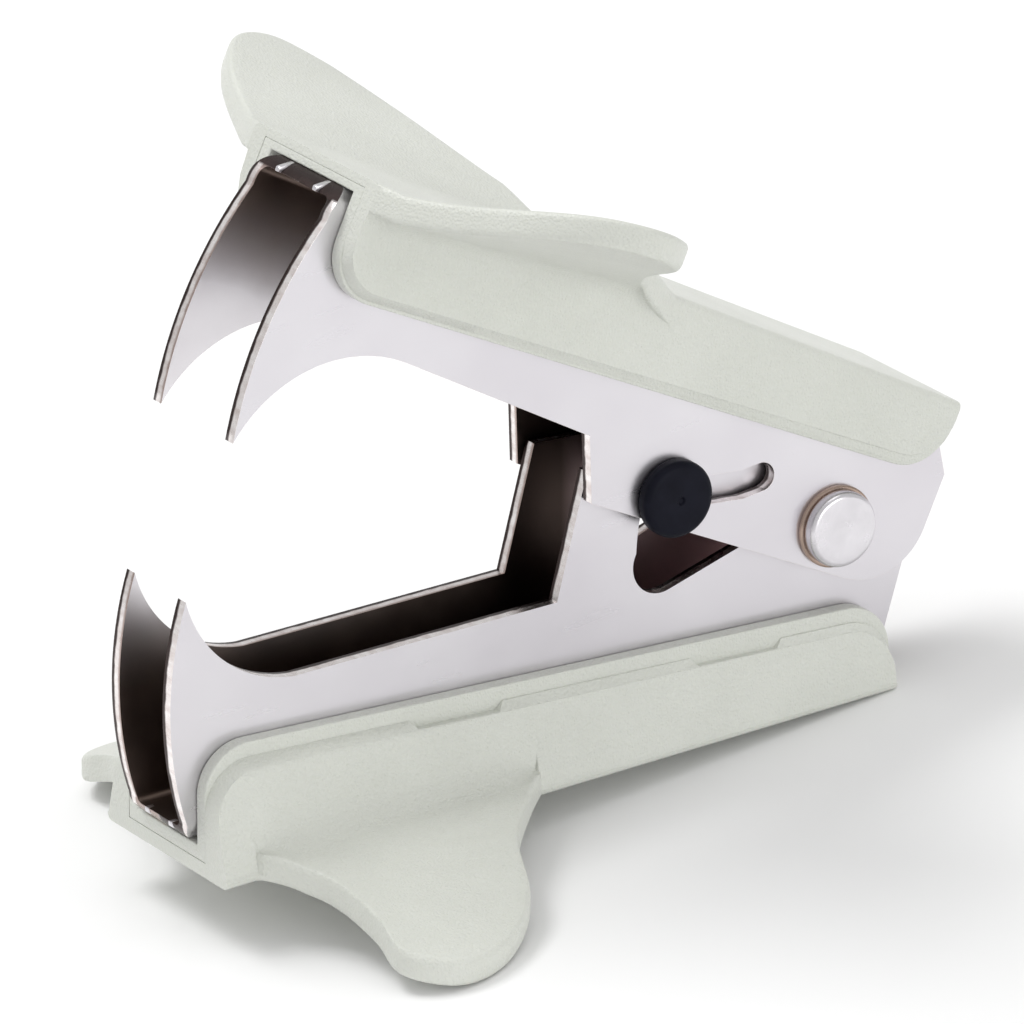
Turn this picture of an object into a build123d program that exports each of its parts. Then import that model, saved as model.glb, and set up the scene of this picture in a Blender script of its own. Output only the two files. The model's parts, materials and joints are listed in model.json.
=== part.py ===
from build123d import *
import os
from math import atan, atan2, cos, degrees, hypot, radians, sin, sqrt

# Jaw-style staple remover, sprung open, with a slide lock.
#
# Every jaw is drawn in its own jaw frame, in millimetres: the origin is on the rivet's axis, +X points
# to the rear, Y is across, and v is the height away from the other jaw. The upper jaw is turned up by
# OPEN_DEG about the rivet, the lower one is mirrored downwards, and the whole remover is then stood on
# its lower finger wings and on the rear edge of its lower grip.

# ---- driving dimensions -------------------------------------------------------------------------
OPEN_DEG = 24.5          # angle between the jaws when the spring has opened them
SHEET = 1.0              # pressed steel sheet
SIDE_PLAY = 0.3          # gap between an upper ear and a lower ear
UPPER_HALF = 5.05        # half of the upper channel's outer width
LOWER_HALF = UPPER_HALF - SHEET - SIDE_PLAY
BEND_OUTER = 1.6         # outer radius of the bend between web and walls
BEND_INNER = BEND_OUTER - SHEET

UPPER_WEB = 11.0         # height of the web's outer face above the rivet's axis, at its front edge
LOWER_WEB = 13.0
UPPER_WEB_FRONT = -46.0
LOWER_WEB_FRONT = -48.2
WEB_SLOPE = 0.05         # the webs come nearer to the rivet's axis towards the rear

RIVET_R = 1.75
RIVET_PLAY = 0.05
CLINCH_PLAY = 0.01
RIVET_HEAD_R = 2.62
RIVET_TAIL_R = 2.3
RIVET_HEAD_T = 0.95
RIVET_TAIL_T = 0.7
RIVET_EDGE = 0.35
WASHER_R = 2.85
WASHER_T = 0.35
SLEEVE_R = 2.25
SLEEVE_END_PLAY = 0.05

LOCK_FRONT = (-13.6, -1.2)   # lock pin's centre in the upper jaw frame, unlocked
LOCK_REAR = (-7.6, 1.2)      # and locked
LOCK_PIN_R = 1.0
LOCK_PLAY = 0.1
LOCK_BOSS_R = 1.0
SLOT_R = 1.1
CUTOUT_LOWER_R = 1.9     # the cut-out's slanted edge lies this far below the pin's path
KNOB_R = 2.65
KNOB_T = 1.25
KNOB_GAP = 0.05
KNOB_EDGE = 0.3
KNOB_FAR_R = 2.2

LINER_T = 1.1            # wall of the grip's inner tray
LINER_PLAY = 0.05        # between the tray and the steel
GRIP_FLOOR = 1.0         # tray floor, and the same again for the shell
UPPER_SKIRT = 5.2        # height of the tray's free edge above the rivet's axis
LOWER_SKIRT = 6.2
SEAM_STEP = 1.0          # the shell's free edge is this much further out
GRIP_CORNER = 3.4        # rounding of the grip's free corners, seen from the side
GRIP_REAR_HALF = 5.95
GRIP_FRONT_HALF = 7.7
SEAM_FRONT_LAP = 0.75    # thickness of the shell's free edge outside the tray, at the front
SEAM_REAR_LAP = 0.25     # and at the rear
CLIP_LENGTH = 7.2
CLIP_DEPTH = 0.55
CLIP_PLACES = (-29.5, -7.7)
CLIP_WIDTH = 0.7

WING_T = 1.9
# The curl of a wing's outer face, as three points of an arc: Y, and height above the grip's flat back.
# The upper wing is twisted, so it has one curl at the grip's front and one WING_TWIST_X behind it.
WING_TWIST_X = 20.0
UPPER_CURLS = (
    ((5.5, -0.5), (15.0, 1.1), (25.5, 5.2)),
    ((5.5, 0.3), (13.0, 2.9), (25.5, 5.0)),
)
LOWER_CURLS = (((5.5, -0.3), (14.5, 1.35), (25.5, 4.75)),) * 2
# A wing's edge seen from above: distance behind the grip's front, and Y.
UPPER_WING = (
    (0.4, 7.0), (1.6, 12.0), (3.6, 18.3), (6.4, 22.6), (10.3, 24.3), (13.2, 22.9),
    (14.8, 20.6), (16.6, 17.0), (18.9, 12.5), (21.5, 9.3), (26.0, 6.9),
)
LOWER_WING = (
    (2.2, 7.0), (5.0, 12.0), (5.6, 17.0), (5.4, 20.5), (8.5, 22.8),
    (12.5, 22.0), (16.3, 18.5), (19.0, 12.8), (24.5, 6.9),
)

SPRING_WIRE_R = 0.45
SPRING_SKIN = 0.08       # the coil's tube is this much thicker than its wire, each side
SPRING_R = 3.0
SPRING_TURNS = 4
SPRING_PITCH = 1.0
SPRING_LEG = 15.0
SPRING_LOWER_DEG = 27.5  # angle between each leg and its own jaw frame's X axis
SPRING_UPPER_DEG = 18.5


# ---- helpers ------------------------------------------------------------------------------------
def plate(outline, half_width):
    """Solid between -half_width and +half_width across, from a closed outline in X and v."""
    return extrude(Plane.XZ * make_face(outline), amount=half_width, both=True)


def path(*edges):
    return Curve() + list(edges)


def polygon(*points):
    return Polyline(*points, close=True)


def across(x, v, radius, y_low, y_high):
    """Round bar across the jaws, from y_low to y_high."""
    bar = extrude(Plane.XZ * Circle(radius), amount=-(y_high - y_low))
    return Pos(x, y_low, v) * bar


def web_height(web, web_front, x):
    return web - WEB_SLOPE * (x - web_front)


def turned(point, angle_deg):
    """A jaw-frame point turned up about the rivet, front end upwards."""
    c = cos(radians(angle_deg))
    s = sin(radians(angle_deg))
    return (point[0] * c + point[1] * s, point[1] * c - point[0] * s)


def rounded_slot(start, end, radius, half_width):
    """Solid that a round bar sweeps as it goes from start to end in the X and v plane."""
    length = hypot(end[0] - start[0], end[1] - start[1])
    angle = degrees(atan2(end[1] - start[1], end[0] - start[0]))
    middle = ((start[0] + end[0]) / 2, (start[1] + end[1]) / 2)
    slot = Pos(*middle) * Rot(0, 0, angle) * SlotCenterToCenter(length, 2 * radius)
    return extrude(Plane.XZ * slot, amount=half_width, both=True)


def channel(half, web, web_front):
    """Long U section with rounded bends, its web along the sloping web line."""
    depth = 40.0
    reach = 70.0
    section = Rectangle(2 * half, depth, align=(Align.CENTER, Align.MAX))
    section = fillet(section.vertices().sort_by(Axis.Y)[-2:], BEND_OUTER)
    hollow = Pos(0, -SHEET) * Rectangle(2 * (half - SHEET), depth, align=(Align.CENTER, Align.MAX))
    hollow = fillet(hollow.vertices().sort_by(Axis.Y)[-2:], BEND_INNER)
    bar = extrude(Plane.YZ * (section - hollow), amount=reach)
    return Pos(web_front - 5.0, 0, web + 5.0 * WEB_SLOPE) * Rot(0, degrees(atan(WEB_SLOPE)), 0) * bar


# ---- pressed steel jaws -------------------------------------------------------------------------
def upper_jaw():
    """Outer channel: fangs, web, and ears that carry the lock's slots."""
    tip = (-48.1, -6.0)
    shoulder = (-47.35, 9.4)
    web_front = (UPPER_WEB_FRONT, UPPER_WEB)
    web_rear = (4.4, web_height(UPPER_WEB, UPPER_WEB_FRONT, 4.4))
    ear_rear = (7.2, 5.4)
    ear_low = -3.2
    ear_round = 4.75
    ear_corner = (-19.5, ear_low)
    ear_top = (-21.6, 1.05)
    throat = (-37.5, 2.2)
    outline = path(
        ThreePointArc(tip, (-48.75, 1.2), shoulder),
        ThreePointArc(shoulder, (-46.9, 10.45), web_front),
        Line(web_front, web_rear),
        Line(web_rear, ear_rear),
        Line(ear_rear, (ear_rear[0], ear_low + ear_round)),
        RadiusArc((ear_rear[0], ear_low + ear_round), (ear_rear[0] - ear_round, ear_low), ear_round),
        Line((ear_rear[0] - ear_round, ear_low), ear_corner),
        Line(ear_corner, ear_top),
        Line(ear_top, throat),
        ThreePointArc(throat, (-44.6, -0.1), tip),
    )
    walls = plate(outline, UPPER_HALF)
    jaw = walls & channel(UPPER_HALF, UPPER_WEB, UPPER_WEB_FRONT)
    jaw -= across(0, 0, RIVET_R + CLINCH_PLAY, -UPPER_HALF, UPPER_HALF)
    jaw -= rounded_slot(LOCK_FRONT, LOCK_REAR, SLOT_R, UPPER_HALF)
    return jaw


def lock_cutout():
    """Opening in the lower ears for the lock pin, drawn in the closed upper jaw's frame.

    It is the arc that the unlocked pin follows as the jaws close, an arm for the pin's way back when
    they are shut, which holds them shut, and an arm for the same way when they are open.
    """
    clear = LOCK_PIN_R + LOCK_PLAY
    radius = hypot(*LOCK_FRONT)
    ring = Circle(radius + clear) - Circle(radius - clear)
    far = 3 * radius
    closed_ray = (far * LOCK_FRONT[0] / radius, far * LOCK_FRONT[1] / radius)
    open_ray = turned(closed_ray, OPEN_DEG)
    sector = make_face(polygon((0, 0), closed_ray, open_ray))
    arc = extrude(Plane.XZ * (ring & sector), amount=UPPER_HALF, both=True)
    open_front = turned(LOCK_FRONT, OPEN_DEG)
    open_rear = turned(LOCK_REAR, OPEN_DEG)
    locked_arm = rounded_slot(LOCK_FRONT, LOCK_REAR, clear, UPPER_HALF)
    open_arm = rounded_slot(open_front, open_rear, clear, UPPER_HALF)
    drop = CUTOUT_LOWER_R - clear
    angle = atan2(LOCK_REAR[1] - LOCK_FRONT[1], LOCK_REAR[0] - LOCK_FRONT[0])
    lowered = [
        (x + drop * sin(angle), v - drop * cos(angle)) for x, v in ((-12.4, -0.72), LOCK_REAR)
    ]
    slanted_arm = rounded_slot(lowered[0], lowered[1], clear, UPPER_HALF)
    return arc + locked_arm + open_arm + slanted_arm


def lower_jaw():
    """Inner channel, drawn downwards: fangs, web, and ears that turn on the rivet."""
    tip = (-49.1, -3.8)
    shoulder = (-49.15, 11.7)
    web_front = (LOWER_WEB_FRONT, LOWER_WEB)
    web_rear = (3.0, web_height(LOWER_WEB, LOWER_WEB_FRONT, 3.0))
    rear_corner = (4.9, 8.8)
    ear_r = 6.9
    ear_x = 0.4
    flank = (ear_x + ear_r * cos(radians(20)), ear_r * sin(radians(20)))
    crown = (ear_x + ear_r * cos(radians(40)), -ear_r * sin(radians(40)))
    ear_back = (ear_x, -ear_r)
    ear_corner = (-18.6, -ear_r)
    ear_foot = (-20.9, 1.75)
    throat = (-41.0, 2.85)
    outline = path(
        ThreePointArc(tip, (-50.35, 4.2), shoulder),
        ThreePointArc(shoulder, (-48.85, 12.6), web_front),
        Line(web_front, web_rear),
        Line(web_rear, rear_corner),
        Line(rear_corner, flank),
        ThreePointArc(flank, crown, ear_back),
        Line(ear_back, ear_corner),
        Line(ear_corner, ear_foot),
        Line(ear_foot, throat),
        ThreePointArc(throat, (-46.4, 0.65), tip),
    )
    walls = plate(outline, LOWER_HALF)
    jaw = walls & channel(LOWER_HALF, LOWER_WEB, LOWER_WEB_FRONT)
    jaw = mirror(jaw, about=Plane.XY)
    jaw -= across(0, 0, RIVET_R + RIVET_PLAY, -LOWER_HALF, LOWER_HALF)
    return jaw - lock_cutout()


# ---- plastic grips ------------------------------------------------------------------------------
class GripPlan:
    """Sizes of one grip, worked out from the jaw that it is pressed on."""

    def __init__(self, half, web, web_front, skirt, front, rear, wing, curls):
        self.half = half + LINER_PLAY
        self.web = web
        self.web_front = web_front
        self.skirt = skirt
        self.front = front
        self.rear = rear
        self.wing = wing
        self.curls = curls

    def floor(self, x, depth):
        """Height of a face that lies depth outside the web."""
        return web_height(self.web, self.web_front, x) + depth

    def side(self, free_edge, depth):
        """Side outline between a free edge and a face that lies depth outside the web."""
        corner = GRIP_CORNER * (1 - 1 / sqrt(2))
        front = self.front
        rear = self.rear
        return path(
            Line((front, free_edge + GRIP_CORNER), (front, self.floor(front, depth))),
            Line((front, self.floor(front, depth)), (rear, self.floor(rear, depth))),
            Line((rear, self.floor(rear, depth)), (rear, free_edge + GRIP_CORNER)),
            ThreePointArc(
                (rear, free_edge + GRIP_CORNER),
                (rear - corner, free_edge + corner),
                (rear - GRIP_CORNER, free_edge),
            ),
            Line((rear - GRIP_CORNER, free_edge), (front + GRIP_CORNER, free_edge)),
            ThreePointArc(
                (front + GRIP_CORNER, free_edge),
                (front + corner, free_edge + corner),
                (front, free_edge + GRIP_CORNER),
            ),
        )


UPPER_GRIP = GripPlan(
    UPPER_HALF, UPPER_WEB, UPPER_WEB_FRONT, UPPER_SKIRT, -46.3, 5.4, UPPER_WING, UPPER_CURLS
)
LOWER_GRIP = GripPlan(
    LOWER_HALF, LOWER_WEB, LOWER_WEB_FRONT, LOWER_SKIRT, -48.5, 4.6, LOWER_WING, LOWER_CURLS
)


def grip_liner(grip):
    """Inner tray: floor and two walls that hug the channel."""
    tray = plate(grip.side(grip.skirt, GRIP_FLOOR), grip.half + LINER_T)
    front = grip.front - 1
    rear = grip.rear + 1
    steel = polygon(
        (front, grip.skirt - 1),
        (front, grip.floor(front, 0)),
        (rear, grip.floor(rear, 0)),
        (rear, grip.skirt - 1),
    )
    return tray - plate(steel, grip.half)


def wing_section(curl, x):
    """Cross-section of a wing's strip, x behind the grip's front."""
    base = 2 * GRIP_FLOOR - WEB_SLOPE * x
    outer, inner = [
        ThreePointArc(*[(y, base + rise - depth) for y, rise in curl]) for depth in (0, WING_T)
    ]
    face = make_face(path(outer, Line(outer @ 1, inner @ 1), inner, Line(inner @ 0, outer @ 0)))
    return Plane.YZ.offset(x) * face


def grip_wing(grip):
    """Near finger wing: a curled strip, trimmed to the wing's plan."""
    end = grip.wing[-1][0] + 2
    front, rear = grip.curls
    reach = end / WING_TWIST_X
    last = [
        (a[0] + (b[0] - a[0]) * reach, a[1] + (b[1] - a[1]) * reach) for a, b in zip(front, rear)
    ]
    curl = loft([wing_section(front, 0), wing_section(last, end)], ruled=True)
    edge = Spline(*grip.wing)
    root = front[0][0] + 0.2
    corner_rear = (grip.wing[-1][0], root)
    corner_front = (grip.wing[0][0], root)
    plan = make_face(
        path(edge, Line(edge @ 1, corner_rear), Line(corner_rear, corner_front), Line(corner_front, edge @ 0))
    )
    wing = curl & extrude(Plane.XY * plan, amount=30)
    return Pos(grip.front, 0, grip.floor(grip.front, 0)) * wing


def grip_shell(grip):
    """Outer shell: sloping side walls, flat back, two wings, and pockets for the tray's clips."""
    seam = grip.skirt + SEAM_STEP
    tray_half = grip.half + LINER_T
    body = plate(grip.side(seam, 2 * GRIP_FLOOR), GRIP_FRONT_HALF + 1)
    sections = []
    for x, back_half, seam_half in (
        (grip.front - 1, GRIP_FRONT_HALF, tray_half + SEAM_FRONT_LAP),
        (grip.rear + 1, GRIP_REAR_HALF, tray_half + SEAM_REAR_LAP),
    ):
        back = grip.floor(x, 2 * GRIP_FLOOR) + 0.5
        sections.append(
            Plane.YZ.offset(x)
            * make_face(
                polygon((-seam_half, seam - 0.5), (seam_half, seam - 0.5), (back_half, back), (-back_half, back))
            )
        )
    body &= loft(sections, ruled=True)
    wing = grip_wing(grip)
    shell = body + wing + mirror(wing, about=Plane.XZ)
    tray = polygon(
        (grip.front - 2, grip.skirt - 2),
        (grip.front - 2, grip.floor(grip.front - 2, GRIP_FLOOR)),
        (grip.rear + 2, grip.floor(grip.rear + 2, GRIP_FLOOR)),
        (grip.rear + 2, grip.skirt - 2),
    )
    shell -= plate(tray, tray_half)
    for x in CLIP_PLACES:
        for side in (-1, 1):
            pocket = Box(CLIP_LENGTH, 2 * CLIP_WIDTH, 2 * CLIP_DEPTH)
            shell -= Pos(x, side * tray_half, seam) * pocket
    return shell


# ---- pivot --------------------------------------------------------------------------------------
def rivet():
    """Rivet with a broad head on the near side and a clinched end on the far side."""
    seat = UPPER_HALF + WASHER_T
    head = across(0, 0, RIVET_HEAD_R, -seat - RIVET_HEAD_T, -seat)
    head = fillet(head.edges().group_by(Axis.Y)[0], RIVET_EDGE)
    tail = across(0, 0, RIVET_TAIL_R, seat, seat + RIVET_TAIL_T)
    tail = fillet(tail.edges().group_by(Axis.Y)[-1], RIVET_EDGE)
    return head + across(0, 0, RIVET_R, -seat, seat) + tail


def washer(side):
    low = min(side * UPPER_HALF, side * (UPPER_HALF + WASHER_T))
    ring = across(0, 0, WASHER_R, low, low + WASHER_T)
    return ring - across(0, 0, RIVET_R + CLINCH_PLAY, low, low + WASHER_T)


def sleeve():
    """Spacer tube between the lower ears."""
    end = LOWER_HALF - SHEET - SLEEVE_END_PLAY
    return across(0, 0, SLEEVE_R, -end, end) - across(0, 0, RIVET_R + RIVET_PLAY, -end, end)


def spring():
    """Torsion spring round the sleeve, one leg on each web. Its close coil is one thick tube."""
    end = SPRING_TURNS * SPRING_PITCH / 2
    wall = SPRING_WIRE_R + SPRING_SKIN
    body = across(0, 0, SPRING_R + wall, -end, end) - across(0, 0, SPRING_R - wall, -end, end)
    for side, angle in ((-1, -SPRING_LOWER_DEG), (1, SPRING_UPPER_DEG + OPEN_DEG)):
        leg = Cylinder(SPRING_WIRE_R, SPRING_LEG, align=(Align.CENTER, Align.CENTER, Align.MIN))
        lifted = Pos(0, side * (end - wall), side * SPRING_R) * Rot(0, -90, 0) * leg
        body += Rot(0, angle, 0) * lifted
    return body


# ---- slide lock ---------------------------------------------------------------------------------
def lock_pin():
    """Cross pin, cut off inside the two bosses."""
    end = UPPER_HALF - SHEET - 0.15
    return across(LOCK_FRONT[0], LOCK_FRONT[1], LOCK_PIN_R, -end, end)


def lock_knob(side, radius):
    """Plastic knob: a boss that runs in the ear's slot, and a disc outside it."""
    x, v = LOCK_FRONT
    inner = UPPER_HALF - SHEET - 0.15
    disc_in = UPPER_HALF + KNOB_GAP
    disc_out = disc_in + KNOB_T
    low, high = sorted((side * inner, side * disc_in))
    boss = across(x, v, LOCK_BOSS_R, low, high)
    low, high = sorted((side * disc_in, side * disc_out))
    disc = across(x, v, radius, low, high)
    face = disc.edges().group_by(Axis.Y)[0 if side < 0 else -1]
    return boss + fillet(face, KNOB_EDGE)


# ---- assembly -----------------------------------------------------------------------------------
def opened(piece):
    """Upper jaw's pieces, turned up about the rivet."""
    return Rot(0, OPEN_DEG, 0) * piece


def flipped(piece):
    """Lower grip's pieces, drawn upwards, mirrored to hang under the lower jaw."""
    return mirror(piece, about=Plane.XY)


pieces = {
    "lower_jaw": lower_jaw(),
    "lower_grip_liner": flipped(grip_liner(LOWER_GRIP)),
    "lower_grip_shell": flipped(grip_shell(LOWER_GRIP)),
    "pivot_sleeve": sleeve(),
    "torsion_spring": spring(),
    "upper_jaw": opened(upper_jaw()),
    "upper_grip_liner": opened(grip_liner(UPPER_GRIP)),
    "upper_grip_shell": opened(grip_shell(UPPER_GRIP)),
    "pivot_rivet": opened(rivet()),
    "pivot_washer_near": opened(washer(-1)),
    "pivot_washer_far": opened(washer(1)),
    "lock_pin": opened(lock_pin()),
    "lock_knob_near": opened(lock_knob(-1, KNOB_R)),
    "lock_knob_far": opened(lock_knob(1, KNOB_FAR_R)),
}


def standing(grip):
    """Turn that brings a grip's wing tips and its rear edge, drawn downwards, onto one level plane."""
    wing = flipped(grip_wing(grip))
    rear = (grip.rear, -grip.floor(grip.rear, 2 * GRIP_FLOOR))
    span = 0.8 * (grip.rear - grip.front)
    tilt = 0.0
    for _ in range(5):
        gap = turned(rear, tilt)[1] - (Rot(0, tilt, 0) * wing).bounding_box().min.Z
        tilt += degrees(atan(gap / span))
    return Rot(0, tilt, 0)


stand = standing(LOWER_GRIP)
placed = {name: stand * piece for name, piece in pieces.items()}
boxes = [piece.bounding_box() for piece in placed.values()]
low = [min(getattr(box.min, axis) for box in boxes) for axis in "XYZ"]
high = [max(getattr(box.max, axis) for box in boxes) for axis in "XYZ"]
to_origin = Pos(-(low[0] + high[0]) / 2, -(low[1] + high[1]) / 2, -low[2])

os.makedirs("parts", exist_ok=True)
for name, piece in placed.items():
    export_step(to_origin * piece, f"parts/{name}.step")

pivot = to_origin * stand
print("tilt", stand.orientation.Y)
print("rivet axis", pivot.position)
print("size", [round(high[i] - low[i], 3) for i in range(3)])
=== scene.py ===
import json
import math
import bmesh
import bpy
from mathutils import Matrix, Vector


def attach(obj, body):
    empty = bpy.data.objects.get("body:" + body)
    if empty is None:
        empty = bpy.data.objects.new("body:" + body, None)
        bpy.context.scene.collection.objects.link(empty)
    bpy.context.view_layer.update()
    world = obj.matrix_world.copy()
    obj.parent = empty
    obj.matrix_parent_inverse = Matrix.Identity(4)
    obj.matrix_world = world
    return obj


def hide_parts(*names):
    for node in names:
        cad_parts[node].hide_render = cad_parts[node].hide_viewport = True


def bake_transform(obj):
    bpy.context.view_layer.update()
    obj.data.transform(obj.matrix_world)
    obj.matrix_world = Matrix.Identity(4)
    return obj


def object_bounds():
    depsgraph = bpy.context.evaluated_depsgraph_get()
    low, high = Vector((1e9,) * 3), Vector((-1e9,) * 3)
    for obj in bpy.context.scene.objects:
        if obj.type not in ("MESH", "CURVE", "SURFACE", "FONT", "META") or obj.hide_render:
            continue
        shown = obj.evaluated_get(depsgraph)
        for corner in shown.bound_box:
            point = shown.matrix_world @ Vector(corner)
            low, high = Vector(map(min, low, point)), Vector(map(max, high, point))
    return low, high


# Jaw-style staple remover. Each piece is drawn in millimetres in the frame of the jaw that it belongs
# to, with the rivet's axis as origin, X to the rear, Y across and v away from the other jaw, and is
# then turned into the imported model's frame.

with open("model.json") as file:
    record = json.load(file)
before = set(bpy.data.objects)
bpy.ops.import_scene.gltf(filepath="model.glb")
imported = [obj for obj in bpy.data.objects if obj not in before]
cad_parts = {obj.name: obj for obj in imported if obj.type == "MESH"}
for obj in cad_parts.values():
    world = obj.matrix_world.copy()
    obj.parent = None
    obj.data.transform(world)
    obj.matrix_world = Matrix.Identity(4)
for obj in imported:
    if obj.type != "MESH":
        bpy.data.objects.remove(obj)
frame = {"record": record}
cad_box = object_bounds()

# ---- frames ---------------------------------------------------------------------------------------
MM = 0.001
OPEN_TURN = math.radians(24.5)       # the upper jaw is open by this much at rest
SLOT_TURN = math.atan2(2.4, 6.0)     # the lock's slot rises to the rear in the upper jaw's frame

joints = {joint["name"]: joint for joint in frame["record"]["behaviour"]["joints"]}
pivot = Vector(joints["jaw_close"]["pos_m"])
slide = joints["lock_slide"]["axis"]
UPPER_TURN = SLOT_TURN - math.atan2(slide[2], slide[0])
LOWER_TURN = UPPER_TURN - OPEN_TURN


def jaw_frame(turn, up):
    flip = Matrix.Diagonal((MM, MM, up * MM, 1))
    return Matrix.Translation(pivot) @ Matrix.Rotation(turn, 4, "Y") @ flip


UPPER = jaw_frame(UPPER_TURN, 1)
LOWER = jaw_frame(LOWER_TURN, -1)


# ---- mesh helpers ---------------------------------------------------------------------------------
CREASE_DEG = 38          # sharper edges than this aren't shaded smooth
ROUND_DEG = 35           # edges sharper than this are rounded off
CUTTER = 9               # half of a cutter's length, past both walls of the channels
DRAFT_LOOKS = [bpy.data.materials.new(f"draft_{i}") for i in range(3)]  # hold the places on a jaw


def arc(p, q, r, count):
    """Points from p up to but without r, on the circle through p, q and r."""
    ax, ay = p
    bx, by = q
    cx, cy = r
    d = 2 * (ax * (by - cy) + bx * (cy - ay) + cx * (ay - by))
    ux = ((ax**2 + ay**2) * (by - cy) + (bx**2 + by**2) * (cy - ay) + (cx**2 + cy**2) * (ay - by)) / d
    uy = ((ax**2 + ay**2) * (cx - bx) + (bx**2 + by**2) * (ax - cx) + (cx**2 + cy**2) * (bx - ax)) / d
    radius = math.hypot(ax - ux, ay - uy)
    start = math.atan2(ay - uy, ax - ux)
    middle = (math.atan2(by - uy, bx - ux) - start) % (2 * math.pi)
    sweep = (math.atan2(cy - uy, cx - ux) - start) % (2 * math.pi)
    if middle > sweep:
        sweep -= 2 * math.pi
    return [
        (ux + radius * math.cos(start + sweep * i / count), uy + radius * math.sin(start + sweep * i / count))
        for i in range(count)
    ]


def smooth_line(points, count):
    """Catmull-Rom curve through points, with count steps on each span."""
    padded = [points[0]] + list(points) + [points[-1]]
    curve = []
    for a, b, c, d in zip(padded, padded[1:], padded[2:], padded[3:]):
        for i in range(count):
            t = i / count
            curve.append(
                tuple(
                    0.5
                    * (
                        2 * b[k]
                        + (c[k] - a[k]) * t
                        + (2 * a[k] - 5 * b[k] + 4 * c[k] - d[k]) * t * t
                        + (3 * b[k] - a[k] - 3 * c[k] + d[k]) * t**3
                    )
                    for k in (0, 1)
                )
            )
    return curve + [tuple(points[-1])]


def even(points, count):
    """count points evenly spaced along a polyline."""
    lengths = [0.0]
    for a, b in zip(points, points[1:]):
        lengths.append(lengths[-1] + math.dist(a, b))
    spaced = []
    k = 0
    for i in range(count):
        want = lengths[-1] * i / (count - 1)
        while k < len(points) - 2 and lengths[k + 1] < want:
            k += 1
        t = (want - lengths[k]) / max(lengths[k + 1] - lengths[k], 1e-9)
        spaced.append(tuple(a + (b - a) * t for a, b in zip(points[k], points[k + 1])))
    return spaced


def mesh_from(vertices, faces, indices=None):
    mesh = bpy.data.meshes.new("draft")
    mesh.from_pydata(vertices, [], faces)
    for look in DRAFT_LOOKS:
        mesh.materials.append(look)
    if indices:
        mesh.polygons.foreach_set("material_index", indices)
    tidy = bmesh.new()
    tidy.from_mesh(mesh)
    bmesh.ops.recalc_face_normals(tidy, faces=tidy.faces)
    tidy.to_mesh(mesh)
    tidy.free()
    return mesh


def prism(outline, low, high, side_index=0):
    """Solid across the jaws between y = low and y = high, from an outline in X and v."""
    count = len(outline)
    vertices = [(x, low, v) for x, v in outline] + [(x, high, v) for x, v in outline]
    faces = [tuple(range(count)), tuple(range(2 * count - 1, count - 1, -1))]
    faces += [(i, (i + 1) % count, count + (i + 1) % count, count + i) for i in range(count)]
    return mesh_from(vertices, faces, [0, 0] + [side_index] * count)


def capsule(start, end, radius, steps=20):
    """Outline of a round bar's track from start to end."""
    turn = math.atan2(end[1] - start[1], end[0] - start[0])
    outline = []
    for centre, first in ((end, turn - math.pi / 2), (start, turn + math.pi / 2)):
        for i in range(steps + 1):
            angle = first + math.pi * i / steps
            outline.append((centre[0] + radius * math.cos(angle), centre[1] + radius * math.sin(angle)))
    return outline


def wedge(a, a_radius, b, b_radius, steps=24):
    """Outline of two discs of different size and the straight tangents between them."""
    turn = math.atan2(b[1] - a[1], b[0] - a[0])
    lean = math.acos((a_radius - b_radius) / math.dist(a, b))
    outline = []
    for centre, radius, first, sweep in (
        (a, a_radius, turn + lean, 2 * math.pi - 2 * lean),
        (b, b_radius, turn - lean, 2 * lean),
    ):
        for i in range(steps + 1):
            angle = first + sweep * i / steps
            outline.append((centre[0] + radius * math.cos(angle), centre[1] + radius * math.sin(angle)))
    return outline


def lathe(profile, centre, steps=96):
    """Turned solid about an axis across the jaws, from (radius, y) points that start and end on it."""
    vertices = []
    rows = []
    for radius, y in profile:
        if radius < 1e-6:
            rows.append([len(vertices)])
            vertices.append((centre[0], y, centre[1]))
            continue
        rows.append(list(range(len(vertices), len(vertices) + steps)))
        for i in range(steps):
            angle = 2 * math.pi * i / steps
            vertices.append((centre[0] + radius * math.cos(angle), y, centre[1] + radius * math.sin(angle)))
    faces = []
    for a, b in zip(rows, rows[1:]):
        for i in range(steps):
            j = (i + 1) % steps
            if len(a) == 1:
                faces.append((a[0], b[j], b[i]))
            elif len(b) == 1:
                faces.append((a[i], a[j], b[0]))
            else:
                faces.append((a[i], a[j], b[j], b[i]))
    return mesh_from(vertices, faces)


def ring_lathe(profile, centre, steps=96):
    """Turned ring, from a closed loop of (radius, y) points."""
    count = len(profile)
    vertices = []
    for i in range(steps):
        angle = 2 * math.pi * i / steps
        for radius, y in profile:
            vertices.append((centre[0] + radius * math.cos(angle), y, centre[1] + radius * math.sin(angle)))
    faces = []
    for i in range(steps):
        a = i * count
        b = (i + 1) % steps * count
        faces += [(a + k, a + (k + 1) % count, b + (k + 1) % count, b + k) for k in range(count)]
    return mesh_from(vertices, faces)


def boolean(base, tool, operation):
    """base combined with tool, both meshes, by an exact boolean."""
    holders = [bpy.data.objects.new("draft", mesh) for mesh in (base, tool)]
    for holder in holders:
        if not holder.data.materials:
            for look in DRAFT_LOOKS:
                holder.data.materials.append(look)
        bpy.context.scene.collection.objects.link(holder)
    step = holders[0].modifiers.new("cut", "BOOLEAN")
    step.operation = operation
    step.solver = "EXACT"
    step.object = holders[1]
    result = bpy.data.meshes.new_from_object(
        holders[0].evaluated_get(bpy.context.evaluated_depsgraph_get())
    )
    for holder in holders:
        bpy.data.objects.remove(holder)
    return result


def sharp_edges(work):
    return [
        edge
        for edge in work.edges
        if len(edge.link_faces) == 2 and edge.calc_face_angle(0) > math.radians(ROUND_DEG)
    ]


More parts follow.
